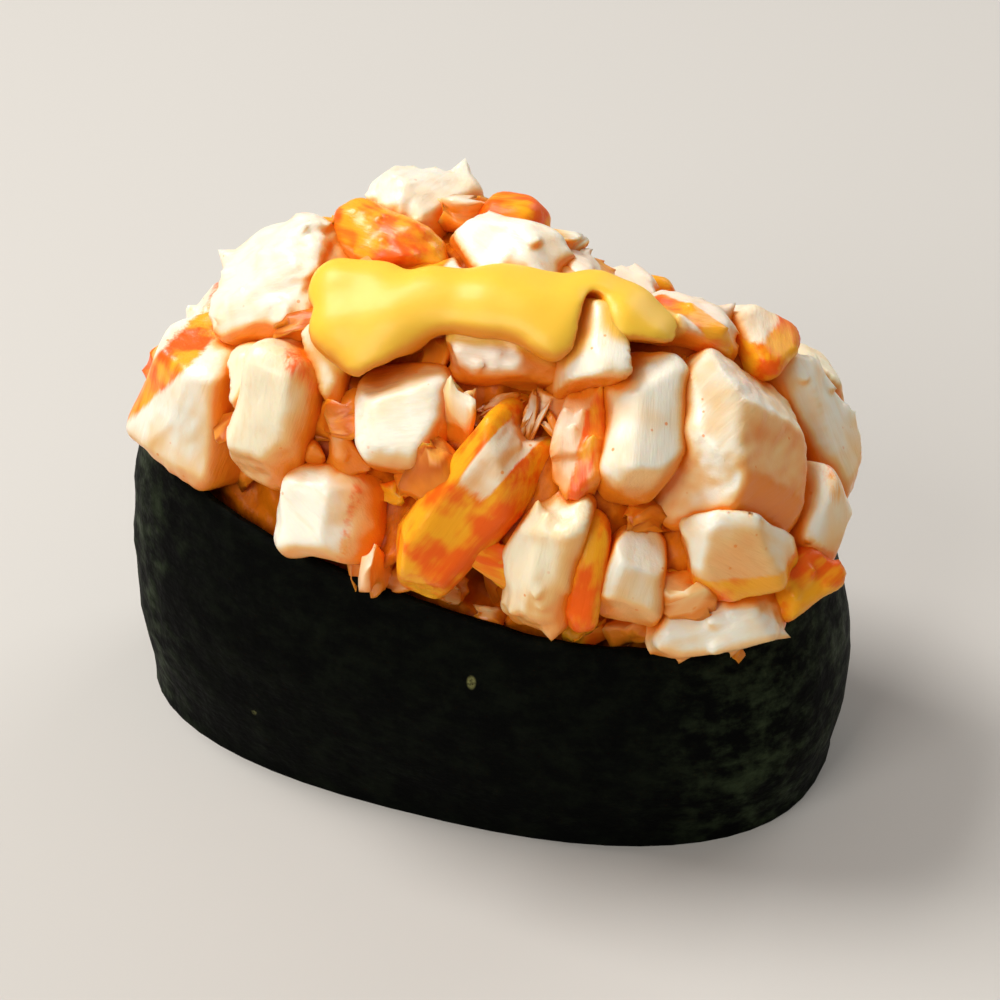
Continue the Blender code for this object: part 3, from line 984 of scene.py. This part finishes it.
    def raise_fibres(self) -> None:
        """Swells the block softly, and parts its surface into bundles of fibres."""
        places, ways = points_of(self.piece), normals_of(self.piece)
        grain = self.grain_over(places)
        ends = np.abs(ways @ np.array(self.along))
        lumps = soft_noise(grain, 0.30)
        strands = soft_noise(grain, (0.10, 0.75, 0.75))
        tears = soft_noise(grain, (0.45, 1.1, 1.1))
        ragged = self.look.ragged
        height = self.regain * self.look.fullness + self.swell * (0.4 + ragged) * lumps
        height = height + self.strand * (0.4 + ragged) * (1 - ends) * strands
        height = height + self.tear * (0.15 + ragged) * (0.25 + 0.75 * ends) * tears
        move_points(self.piece, places + ways * height[:, None])

    def mark(self, crowding: Crowding, sauce: BVHTree) -> None:
        """Notes on the mesh where it is shut in, skinned and touched by the sauce, and where shade is painted.

        Args:
            crowding: How the heap shuts it in.
            sauce: The sauce's surface.
        """
        places = points_of(self.piece)
        note(self.piece, "grain", self.grain)
        # Painted shade: how closely the heap shuts in each vertex.
        note(self.piece, "crevice_shade", crowding.over(self.piece))
        face = smooth_step(normals_of(self.piece) @ np.array(self.outward), 0.45, 0.95)
        climb = places[:, 2] - places[:, 2].min()
        low = smooth_step(climb / climb.max(), 0.65, 0.0)
        # Painted shade: faces turned from the key light, the block's outer face and its lower part.
        note(self.piece, "run", shade_turned_from_key(self.piece) + self.look.outer_face_shade * face + self.low_block_shade * low)
        note(self.piece, "skin", self.skin_over(places))
        film = 1.3 * MM
        near = [sauce.find_nearest(Vector(place), film)[3] for place in places]
        wet = np.array([0.0 if distance is None else 1 - distance / film for distance in near])
        note(self.piece, "sauced", even_out(self.piece, wet))

    def skin_over(self, places: np.ndarray) -> np.ndarray:
        """Where the block keeps its skin, from 0 to 1 at each vertex."""
        skin = np.zeros(len(places))
        away = places - np.array(self.middle)
        for patch in self.look.patches:
            shares = away @ np.array(patch.side.value)
            shares = shares / np.abs(shares).max()
            inside = smooth_step(shares, patch.start - 0.12, patch.start + 0.12)
            inside = inside * smooth_step(shares, patch.end + 0.12, patch.end - 0.12)
            skin = np.maximum(skin, inside * patch.strength)
        if self.look.pale_stripe:
            skin = skin * (1 - self.stripe_over(away))
        return skin

    def stripe_over(self, away: np.ndarray) -> np.ndarray:
        """The pale stripe that runs down from the upper end, from 0 to 1 at each vertex."""
        upward = self.along if self.along.z > 0 else -self.along
        climb = away @ np.array(upward)
        aside = away @ np.array(self.across)
        half = np.abs(aside).max()
        narrow = smooth_step(np.abs(aside / half + 0.05), 0.42, 0.22)
        return narrow * smooth_step(climb / np.abs(climb).max(), 0.05, 0.45)

    def dress(self) -> None:
        """Gives the block its flesh and hands it over."""
        skinned = self.look.flesh is Flesh.SKIN
        slot = "surimi_skin" if skinned else "surimi"
        settle(self.piece, self.look.flesh.value.material(), slot, self.node)


@dataclass
class SurimiHeap:
    """All the chopped blocks of the heap."""

    heap: Heap
    blocks: list[SurimiBlock] = field(default_factory=list)

    def build(self) -> list[bpy.types.Object]:
        """Builds a block for every surimi node of the frame."""
        chance = random.Random(5)
        names = sorted(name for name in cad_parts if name.startswith("surimi"))
        for index, node in enumerate(names, start=1):
            look = LOOKS.get(index) or self.back_look(node, chance)
            self.blocks.append(SurimiBlock(node, self.heap, look, index))
        return [block.build() for block in self.blocks]

    def back_look(self, node: str, chance: random.Random) -> BlockLook:
        """A look for a block that the list doesn't name.

        Args:
            node: The block's node.
            chance: The source of the choice.

        Returns:
            Its look.
        """
        flesh = chance.choice((Flesh.MILK, Flesh.MILK, Flesh.CREAM, Flesh.BLUSH))
        side = chance.choice(list(Side))
        patch = Patch(side, chance.uniform(0.2, 0.7), 3.0, chance.uniform(0.4, 0.9))
        ragged = chance.uniform(0.15, 0.7)
        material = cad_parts[node].data.materials[0].name
        if "skin" in material:
            return BlockLook(Flesh.SKIN, (ALL_OVER,), ragged)
        return BlockLook(flesh, (patch,) if chance.random() < 0.6 else (), ragged)

    def dress(self, crowding: Crowding, sauce: BVHTree) -> None:
        """Marks and dresses every block."""
        for block in self.blocks:
            block.mark(crowding, sauce)
            block.dress()


# ---------------------------------------------------------------- shreds


def mark_loose(piece: bpy.types.Object, crowding: Crowding, skin: float) -> None:
    """Notes on a loose piece what the surimi finish reads.

    Args:
        piece: The piece.
        crowding: How the heap shuts it in.
        skin: How much skin it has, from 0 to 1.
    """
    bare = np.zeros(len(piece.data.vertices))
    # Painted shade: how closely the heap shuts in each vertex, and the faces turned from the key light.
    note(piece, "crevice_shade", crowding.over(piece))
    # Painted shade on faces turned from the key light.
    note(piece, "run", shade_turned_from_key(piece))
    note(piece, "skin", bare + skin)
    note(piece, "sauced", bare)


@dataclass
class GapBits:
    """Small chopped bits that fell into the gaps between the blocks."""

    heap: Heap
    tries: int = 1600
    seed: int = 71
    length: tuple[float, float] = (2.2 * MM, 5.2 * MM)
    lift: tuple[float, float] = (0.2 * MM, 1.2 * MM)
    clear: float = 0.42
    shred_roots: tuple[tuple[float, float, float, float], ...] = (
        (6.1, -11.0, 36.6, 0.5),
        (8.4, -11.2, 36.0, 1.3),
        (9.6, -11.8, 34.9, 2.3),
        (7.2, -12.6, 34.0, -0.2),
    )

    def build(self, gaps: "Shreds", ground: BVHTree, above: BVHTree) -> list[bpy.types.Object]:
        """Drops bits from all round into the gaps.

        Args:
            gaps: What finds a gap along a random line.
            ground: The filling's surface.
            above: The surface of what may be in the way.

        Returns:
            The pale, the soaked and the orange bits, each kind as one object.
        """
        chance = random.Random(self.seed)
        mould = FlakeMould(cuts=4, taper=0.25, rounding=1).build()
        self.piles = {
            Flesh.MILK: FlakePile("pale_bits", mould),
            Flesh.BLUSH: FlakePile("pink_shreds", mould),
            Flesh.SOAKED: FlakePile("soaked_bits", mould),
            Flesh.SKIN: FlakePile("orange_bits", mould),
        }
        taken: list[tuple[Vector, float]] = []
        for _ in range(self.tries):
            place = gaps.gap_place(ground, above, chance)
            length = chance.uniform(*self.length)
            if place is None or any((place - other).length < self.clear * (length + size) for other, size in taken):
                continue
            taken.append((place, length))
            outward = self.heap.outward(place)
            level = outward.cross(Vector((0, 0, 1))).normalized()
            along = Matrix.Rotation(chance.uniform(0, math.pi), 3, outward) @ level
            along = (along + outward * chance.uniform(-0.5, 0.5)).normalized()
            width = length * chance.uniform(0.45, 0.8)
            lifted = place + outward * chance.uniform(*self.lift)
            kind = chance.choices(list(self.piles), (0.35, 0.15, 0.33, 0.17))[0]
            self.piles[kind].add(
                Flake(lifted, along, outward, length, width, width * chance.uniform(0.6, 0.95), 0.0)
            )
        self.shreds = self.piles[Flesh.BLUSH]
        self.lay_named_bits(chance)
        self.pieces = [pile.build(gnarl=0.34) for pile in self.piles.values()]
        return self.pieces

    def lay_named_bits(self, chance: random.Random) -> None:
        """Lays the flake beside the peak and the shreds over the middle hollow."""
        beside_peak = Vector((-9.8, 1.4, 42.0)) * MM
        slope = Vector((5.4, -0.8, 1.9)).normalized()
        pale = self.piles[Flesh.MILK]
        pale.add(Flake(beside_peak, slope, self.heap.outward(beside_peak), 7.6 * MM, 3.8 * MM, 1.7 * MM, 0.0))
        for x, y, z, turn in self.shred_roots:
            place = Vector((x, y, z)) * MM
            outward = self.heap.outward(place)
            level = outward.cross(Vector((0, 0, 1))).normalized()
            along = Matrix.Rotation(turn, 3, outward) @ level
            self.shreds.add_tuft(place, along, outward, chance.uniform(3.4, 4.6) * MM, chance)

    def dress(self, crowding: Crowding) -> None:
        """Marks and dresses each kind."""
        for kind, piece in zip(self.piles, self.pieces, strict=True):
            mark_loose(piece, crowding, 1.0 if kind is Flesh.SKIN else 0.0)
            settle(piece, kind.value.material(), "surimi_skin" if kind is Flesh.SKIN else "surimi")


@dataclass
class Shreds:
    """The shreds that lie in the gaps between the blocks, half sunk in the filling."""

    heap: Heap
    tries: int = 900
    seed: int = 23
    slanting: float = 0.5
    sink: tuple[float, float] = (-0.5 * MM, 0.5 * MM)
    fibre_length: tuple[float, float] = (2.5 * MM, 5.5 * MM)

    def build(
        self,
        mould: FlakeShape,
        filling: bpy.types.Object,
        blocks: Sequence[bpy.types.Object],
    ) -> tuple[bpy.types.Object, bpy.types.Object]:
        """Drops shreds from all round into the gaps that the blocks leave.

        Args:
            mould: The corners and faces of one flake.
            filling: The filling that they come to rest on.
            blocks: What may stand in their way.

        Returns:
            The flat shreds and the fine fibres, each as one object.
        """
        chance = random.Random(self.seed)
        ground = Crowding([filling], 30 * MM).tree
        above = Crowding([*blocks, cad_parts["nori_band"]], 30 * MM).tree
        self.ground, self.above = ground, above
        lumps, fibres = FlakePile("lumps", mould), FlakePile("gap_fibres", mould)
        for attempt in range(self.tries):
            place = self.gap_place(ground, above, chance)
            if place is None:
                continue
            outward = self.heap.outward(place)
            level = outward.cross(Vector((0, 0, 1))).normalized()
            along = Matrix.Rotation(chance.uniform(0, math.pi), 3, outward) @ level
            along = (along + outward * chance.uniform(-0.30, 0.30)).normalized()
            if attempt % 5 == 0:
                fibres.add_tuft(place, along, outward, chance.uniform(*self.fibre_length), chance)
                continue
            lumps.add(Flake(
                place + outward * chance.uniform(*self.sink),
                along,
                outward,
                chance.uniform(2.4, 6.0) * MM,
                chance.uniform(1.2, 3.0) * MM,
                chance.uniform(0.5, 1.1) * MM,
                chance.uniform(-0.10, 0.02),
            ))
        return lumps.build(), fibres.build()

    def gap_place(self, ground: BVHTree, above: BVHTree, chance: random.Random) -> Vector | None:
        """Looks for a gap along one random line into the heap.

        Args:
            ground: The filling's surface.
            above: The surface of what may be in the way.
            chance: The source of the line.

        Returns:
            Where the line meets the filling, or nothing where something is in the way.
        """
        angle = chance.uniform(0, 2 * math.pi)
        climb = math.asin(chance.uniform(-0.05, 1.0))
        way = Vector((math.cos(angle) * math.cos(climb), math.sin(angle) * math.cos(climb), math.sin(climb)))
        edge = Vector([way[axis] * self.heap.reach[axis] for axis in range(3)]) + self.heap.heart
        inward = -self.heap.outward(edge)
        if chance.random() < self.slanting:
            inward = (inward + Vector((0, 0, -1)) * chance.uniform(0.2, 1.2)).normalized()
        start = edge - inward * 9 * MM
        place, _, _, distance = ground.ray_cast(start, inward, 26 * MM)
        if place is None or above.ray_cast(start, inward, distance + 0.3 * MM)[0] is not None:
            return None
        return place


# ---------------------------------------------------------------- core, sauce, nori and rice


@dataclass
class DressedFilling:
    """The soaked filling: it wells up round the foot of every block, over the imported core.

    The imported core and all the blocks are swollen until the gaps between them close, melted
    together and shrunk back again, a little further than they swelled.
    """

    voxel: float = 0.5 * MM
    fine_voxel: float = 0.34 * MM
    closing: float = 1.2 * MM
    recess: float = 1.7 * MM
    rounding: int = 5
    flakes: float = 0.22 * MM
    wall: float = 0.55 * MM

    def build(self, blocks: Sequence[bpy.types.Object]) -> bpy.types.Object:
        """Melts the core and the blocks together, closes the gaps between them and draws the surface back in.

        Args:
            blocks: The blocks that the filling wells up between.

        Returns:
            The filling's object.
        """
        self.piece = copy_node("flaked_core", "dressed_filling")
        for block in blocks:
            copy = bpy.data.objects.new("under_" + block.name, block.data.copy())
            bpy.context.scene.collection.objects.link(copy)
            copy.select_set(True)
        bpy.ops.object.join()
        finish_with(self.piece, "REMESH", mode="VOXEL", voxel_size=self.voxel)
        self.swell_by(self.closing)
        finish_with(self.piece, "REMESH", mode="VOXEL", voxel_size=self.voxel)
        finish_with(self.piece, "SMOOTH", factor=0.5, iterations=self.rounding)
        self.swell_by(-self.closing - self.recess)
        finish_with(self.piece, "REMESH", mode="VOXEL", voxel_size=self.voxel)
        return self.piece

    def take_in(self, shreds: bpy.types.Object) -> None:
        """Melts the shreds that lie on the filling into it.

        Args:
            shreds: The shreds, which are used up.
        """
        pick(self.piece)
        shreds.select_set(True)
        bpy.ops.object.join()
        finish_with(self.piece, "REMESH", mode="VOXEL", voxel_size=self.fine_voxel)
        finish_with(self.piece, "SMOOTH", factor=0.5, iterations=4)
        self.roughen()
        self.keep_inside_band()

    def swell_by(self, height: float) -> None:
        """Moves the surface outwards by a height, or inwards where it is negative."""
        finish_with(self.piece, "DISPLACE", strength=height, mid_level=0.0)

    def roughen(self) -> None:
        """Raises flakes over the surface."""
        places, ways = points_of(self.piece), normals_of(self.piece)
        grain = places / MM
        broad = soft_noise(grain, (0.35, 0.55, 0.45))
        fine = np.abs(soft_noise(grain, (0.6, 1.3, 0.9)))
        height = self.flakes * (broad + 0.6 * fine)
        move_points(self.piece, places + ways * height[:, None])

    def keep_inside_band(self) -> None:
        """Draws the filling in where it would come through the nori."""
        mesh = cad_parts["nori_band"].data
        band = BVHTree.FromPolygons([v.co for v in mesh.vertices], [f.vertices for f in mesh.polygons])
        places = points_of(self.piece)
        for index, place in enumerate(places):
            distance = band.find_nearest(Vector(place), self.wall)[3]
            if distance is not None:
                inward = Vector((-place[0] * 0.35, -place[1], 0.0)).normalized()
                places[index] = Vector(place) + inward * (self.wall - distance + 0.4 * MM)
        move_points(self.piece, places)

    def dress(self, crowding: Crowding) -> None:
        """Marks the depths for painted shade, gives the filling its finish and hands it over."""
        note(self.piece, "crevice_shade", crowding.over(self.piece))
        settle(self.piece, FillingFinish().material(), "dressing", "flaked_core")


@dataclass
class Sauce:
    """The thick sauce, run over the top of the heap."""

    voxel: float = 0.32 * MM
    rounding: int = 22
    swell: float = 0.60 * MM
    thin: float = 0.9 * MM
    spread: float = 1.8 * MM
    lift: float = 0.4 * MM

    def build(self) -> bpy.types.Object:
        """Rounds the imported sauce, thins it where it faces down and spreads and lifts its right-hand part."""
        self.piece = copy_node("sauce", "thick_sauce")
        finish_with(self.piece, "REMESH", mode="VOXEL", voxel_size=self.voxel)
        finish_with(self.piece, "SMOOTH", factor=0.5, iterations=self.rounding)
        places, ways = points_of(self.piece), normals_of(self.piece)
        ripples = soft_noise(places / MM, (0.22, 0.22, 0.35))
        height = self.swell + 0.18 * MM * ripples - self.thin * smooth_step(ways[:, 2], 0.35, -0.45)
        places = places + ways * height[:, None]
        right = smooth_step(places[:, 0], -1 * MM, 6 * MM)
        places[:, 1] += self.spread * right * smooth_step(ways[:, 1], 0.0, 0.7)
        places[:, 2] += self.lift * right
        move_points(self.piece, places)
        finish_with(self.piece, "REMESH", mode="VOXEL", voxel_size=self.voxel)
        finish_with(self.piece, "SMOOTH", factor=0.5, iterations=10)
        return self.piece

    def tree(self) -> BVHTree:
        """The sauce's surface, for finding what it touches."""
        mesh = self.piece.data
        return BVHTree.FromPolygons(
            [vert.co for vert in mesh.vertices], [face.vertices for face in mesh.polygons]
        )

    def dress(self, crowding: Crowding) -> None:
        """Marks where the sauce is shut in and where it faces down, for painted shade, gives it its finish and
        hands it over.
        """
        note(self.piece, "crevice_shade", crowding.over(self.piece))
        # Painted shade on the faces that look down.
        note(self.piece, "run", smooth_step(normals_of(self.piece)[:, 2], 0.80, -0.20))
        settle(self.piece, SauceFinish().material(), "sauce", "sauce")


@dataclass
class NoriBand:
    """The strip of nori round the rice, with its crinkles and its uneven rim."""

    cuts: int = 3
    crinkle: float = 0.10 * MM
    buckle: float = 0.22 * MM
    fray: float = 0.28 * MM

    def build(self) -> bpy.types.Object:
        """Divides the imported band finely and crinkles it."""
        self.piece = copy_node("nori_band", "nori_sheet")
        pick(self.piece)
        bpy.ops.object.mode_set(mode="EDIT")
        bpy.ops.mesh.select_all(action="SELECT")
        bpy.ops.mesh.subdivide(number_cuts=self.cuts)
        bpy.ops.object.mode_set(mode="OBJECT")
        places = points_of(self.piece)
        radial = places * np.array([0.3, 0.9, 0.0])
        ways = radial / np.maximum(np.linalg.norm(radial, axis=1), 1e-9)[:, None]
        grain = places / MM
        height = self.buckle * soft_noise(grain, (0.10, 0.10, 0.22))
        height = height + self.crinkle * soft_noise(grain, (0.55, 0.55, 0.75))
        clear_of_foot = smooth_step(places[:, 2], 0.2 * MM, 2.5 * MM)
        places = places + ways * (height * clear_of_foot)[:, None]
        rim = smooth_step(places[:, 2], 12 * MM, 24 * MM)
        places[:, 2] += self.fray * rim * soft_noise(grain, (0.5, 0.5, 0.0))
        move_points(self.piece, places)
        return self.piece

    def dress(self) -> None:
        """Gives the band its finish and hands it over."""
        settle(self.piece, NoriFinish().material(), "nori", "nori_band")
        bpy.ops.object.shade_smooth_by_angle(angle=math.radians(50))


@dataclass
class RiceBase:
    """Pressed rice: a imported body, with whole grains lying over its underside."""

    grain_length: float = 5.0 * MM
    grain_width: float = 2.3 * MM
    rows: int = 11
    columns: int = 15
    seed: int = 7

    def build(self) -> list[bpy.types.Object]:
        """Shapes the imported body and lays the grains."""
        self.body = copy_node("rice_base", "pressed_rice")
        finish_with(self.body, "REMESH", mode="VOXEL", voxel_size=0.7 * MM)
        finish_with(self.body, "SMOOTH", factor=0.5, iterations=3)
        places, ways = points_of(self.body), normals_of(self.body)
        lumps = soft_noise(places / MM, (0.32, 0.42, 0.4))
        places = places + ways * (0.25 * MM * lumps - 0.35 * MM)[:, None]
        places[:, 2] = np.maximum(places[:, 2], 1.1 * MM)
        move_points(self.body, places)
        self.grains = self.lay_grains()
        return [self.body, self.grains]

    def grain_mould(self) -> FlakeShape:
        """Shapes one grain of rice and returns its corners and faces."""
        bpy.ops.object.select_all(action="DESELECT")
        bpy.ops.mesh.primitive_uv_sphere_add(segments=8, ring_count=6, radius=0.5)
        mould = bpy.context.active_object
        places = points_of(mould)[:, [2, 0, 1]]
        places[:, 2] += 0.10 * (places[:, 0] * 2) ** 2 - 0.03
        faces = [tuple(face.vertices) for face in mould.data.polygons]
        bpy.data.objects.remove(mould)
        return places, faces

    def lay_grains(self) -> bpy.types.Object:
        """Lays grains side by side over the underside, inside the band."""
        low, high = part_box("rice_base")
        middle, half = (low + high) / 2, (high - low) / 2
        chance = random.Random(self.seed)
        pile = FlakePile("rice_grains", self.grain_mould())
        for row in range(self.rows):
            for column in range(self.columns):
                across = (row + 0.5 + chance.uniform(-0.3, 0.3)) / self.rows * 2 - 1
                along = (column + 0.5 + chance.uniform(-0.3, 0.3)) / self.columns * 2 - 1
                if abs(across) ** 2.4 + abs(along) ** 2.4 > 0.62:
                    continue
                turn = chance.uniform(0, math.pi)
                pile.add(Flake(
                    Vector((middle.x + along * half.x, middle.y + across * half.y, 1.25 * MM)),
                    Vector((math.cos(turn), math.sin(turn), chance.uniform(-0.08, 0.08))),
                    Vector((0, 0, -1)),
                    self.grain_length * chance.uniform(0.88, 1.1),
                    self.grain_width * chance.uniform(0.9, 1.1),
                    self.grain_width * chance.uniform(0.82, 0.95),
                    0.0,
                ))
        grains = pile.build()
        places = points_of(grains)
        places[:, 2] = np.maximum(places[:, 2], 0.02 * MM)
        move_points(grains, places)
        return grains

    def dress(self) -> None:
        """Gives the rice its finish and hands it over."""
        finish = RiceFinish().material()
        settle(self.body, finish, "rice", "rice_base")
        settle(self.grains, finish, "rice")


# ---------------------------------------------------------------- studio


@dataclass
class Studio:
    """A pale floor, soft lights and the camera."""

    floor_size: float = 3.0
    azimuth: float = 22.0
    elevation: float = 36.0
    distance: float = 312.5 * MM
    aim: Vector = field(default_factory=lambda: Vector((-2.7, 9.2, 13.0)) * MM)
    lens: float = 136.9

    def build(self) -> None:
        """Sets up the floor, the lights and the camera."""
        self.lay_floor()
        self.hang_light("key", Vector((-0.27, 0.00, 0.44)), 0.22, 2.3, (1.0, 0.96, 0.90))
        self.hang_light("fill", Vector((-0.10, -0.44, 0.34)), 0.26, 1.2, (1.0, 0.96, 0.90))
        self.hang_light("rim", Vector((0.16, 0.42, 0.30)), 0.30, 0.7, (1.0, 0.98, 0.95))
        world = bpy.data.worlds.new("soft_room")
        world.use_nodes = True
        background = world.node_tree.nodes["Background"]
        background.inputs["Color"].default_value = (1.0, 0.93, 0.85, 1.0)
        background.inputs["Strength"].default_value = 0.26
        scene = bpy.context.scene
        scene.world = world
        scene.view_settings.view_transform = "Standard"
        self.place_camera()

    def lay_floor(self) -> None:
        """Lays the floor."""
        bpy.ops.object.select_all(action="DESELECT")
        bpy.ops.mesh.primitive_plane_add(size=self.floor_size)
        floor = bpy.context.active_object
        floor.name = "floor"
        floor.data.materials.append(FloorFinish().material())

    def hang_light(self, name: str, place: Vector, size: float, power: float, colour: Colour) -> None:
        """Hangs a square soft light that faces the sushi.

        Args:
            name: The light's name.
            place: Where it hangs.
            size: The length of its side.
            power: Its power in watts.
            colour: Its colour.
        """
        lamp = bpy.data.lights.new(name, "AREA")
        lamp.shape = "SQUARE"
        lamp.size = size
        lamp.energy = power
        lamp.color = colour
        light = bpy.data.objects.new(name, lamp)
        light.location = place
        light.rotation_euler = (Vector((0, 0, 0.02)) - place).to_track_quat("-Z", "Y").to_euler()
        bpy.context.scene.collection.objects.link(light)

    def place_camera(self) -> None:
        """Sets the camera in front of the sushi, a little to its right and above it."""
        turn, rise = math.radians(self.azimuth), math.radians(self.elevation)
        place = self.distance * Vector((
            math.sin(turn) * math.cos(rise), -math.cos(turn) * math.cos(rise), math.sin(rise)
        ))
        data = bpy.data.cameras.new("camera")
        data.lens = self.lens
        data.sensor_width = 36.0
        data.clip_start = 0.01
        camera = bpy.data.objects.new("camera", data)
        camera.location = place
        camera.rotation_euler = (self.aim - place).to_track_quat("-Z", "Y").to_euler()
        bpy.context.scene.collection.objects.link(camera)
        bpy.context.scene.camera = camera


def main() -> None:
    """Builds and dresses the sushi, piece by piece."""
    logging.basicConfig(level=logging.INFO, format="%(name)s: %(message)s")
    heap = Heap.of_frame()
    nori, rice, filling, sauce = NoriBand(), RiceBase(), DressedFilling(), Sauce()
    surimi = SurimiHeap(heap)
    mould = FlakeMould(taper=0.25).build()
    blocks = surimi.build()
    filling.build(blocks)
    shreds, bits = Shreds(heap), GapBits(heap)
    lumps, fibres = shreds.build(mould, filling.piece, blocks)
    filling.take_in(lumps)
    bits.build(shreds, shreds.ground, shreds.above)
    solids = [nori.build(), filling.piece, sauce.build(), *blocks]
    rice.build()
    crowding = Crowding(solids, 5.0 * MM)
    surimi.dress(crowding, sauce.tree())
    mark_loose(fibres, crowding, 0.0)
    settle(fibres, Flesh.BLUSH.value.material(), "surimi")
    bits.dress(crowding)
    sauce.dress(crowding)
    filling.dress(crowding)
    nori.dress()
    rice.dress()
    Studio().build()


if __name__ == "__main__":
    main()
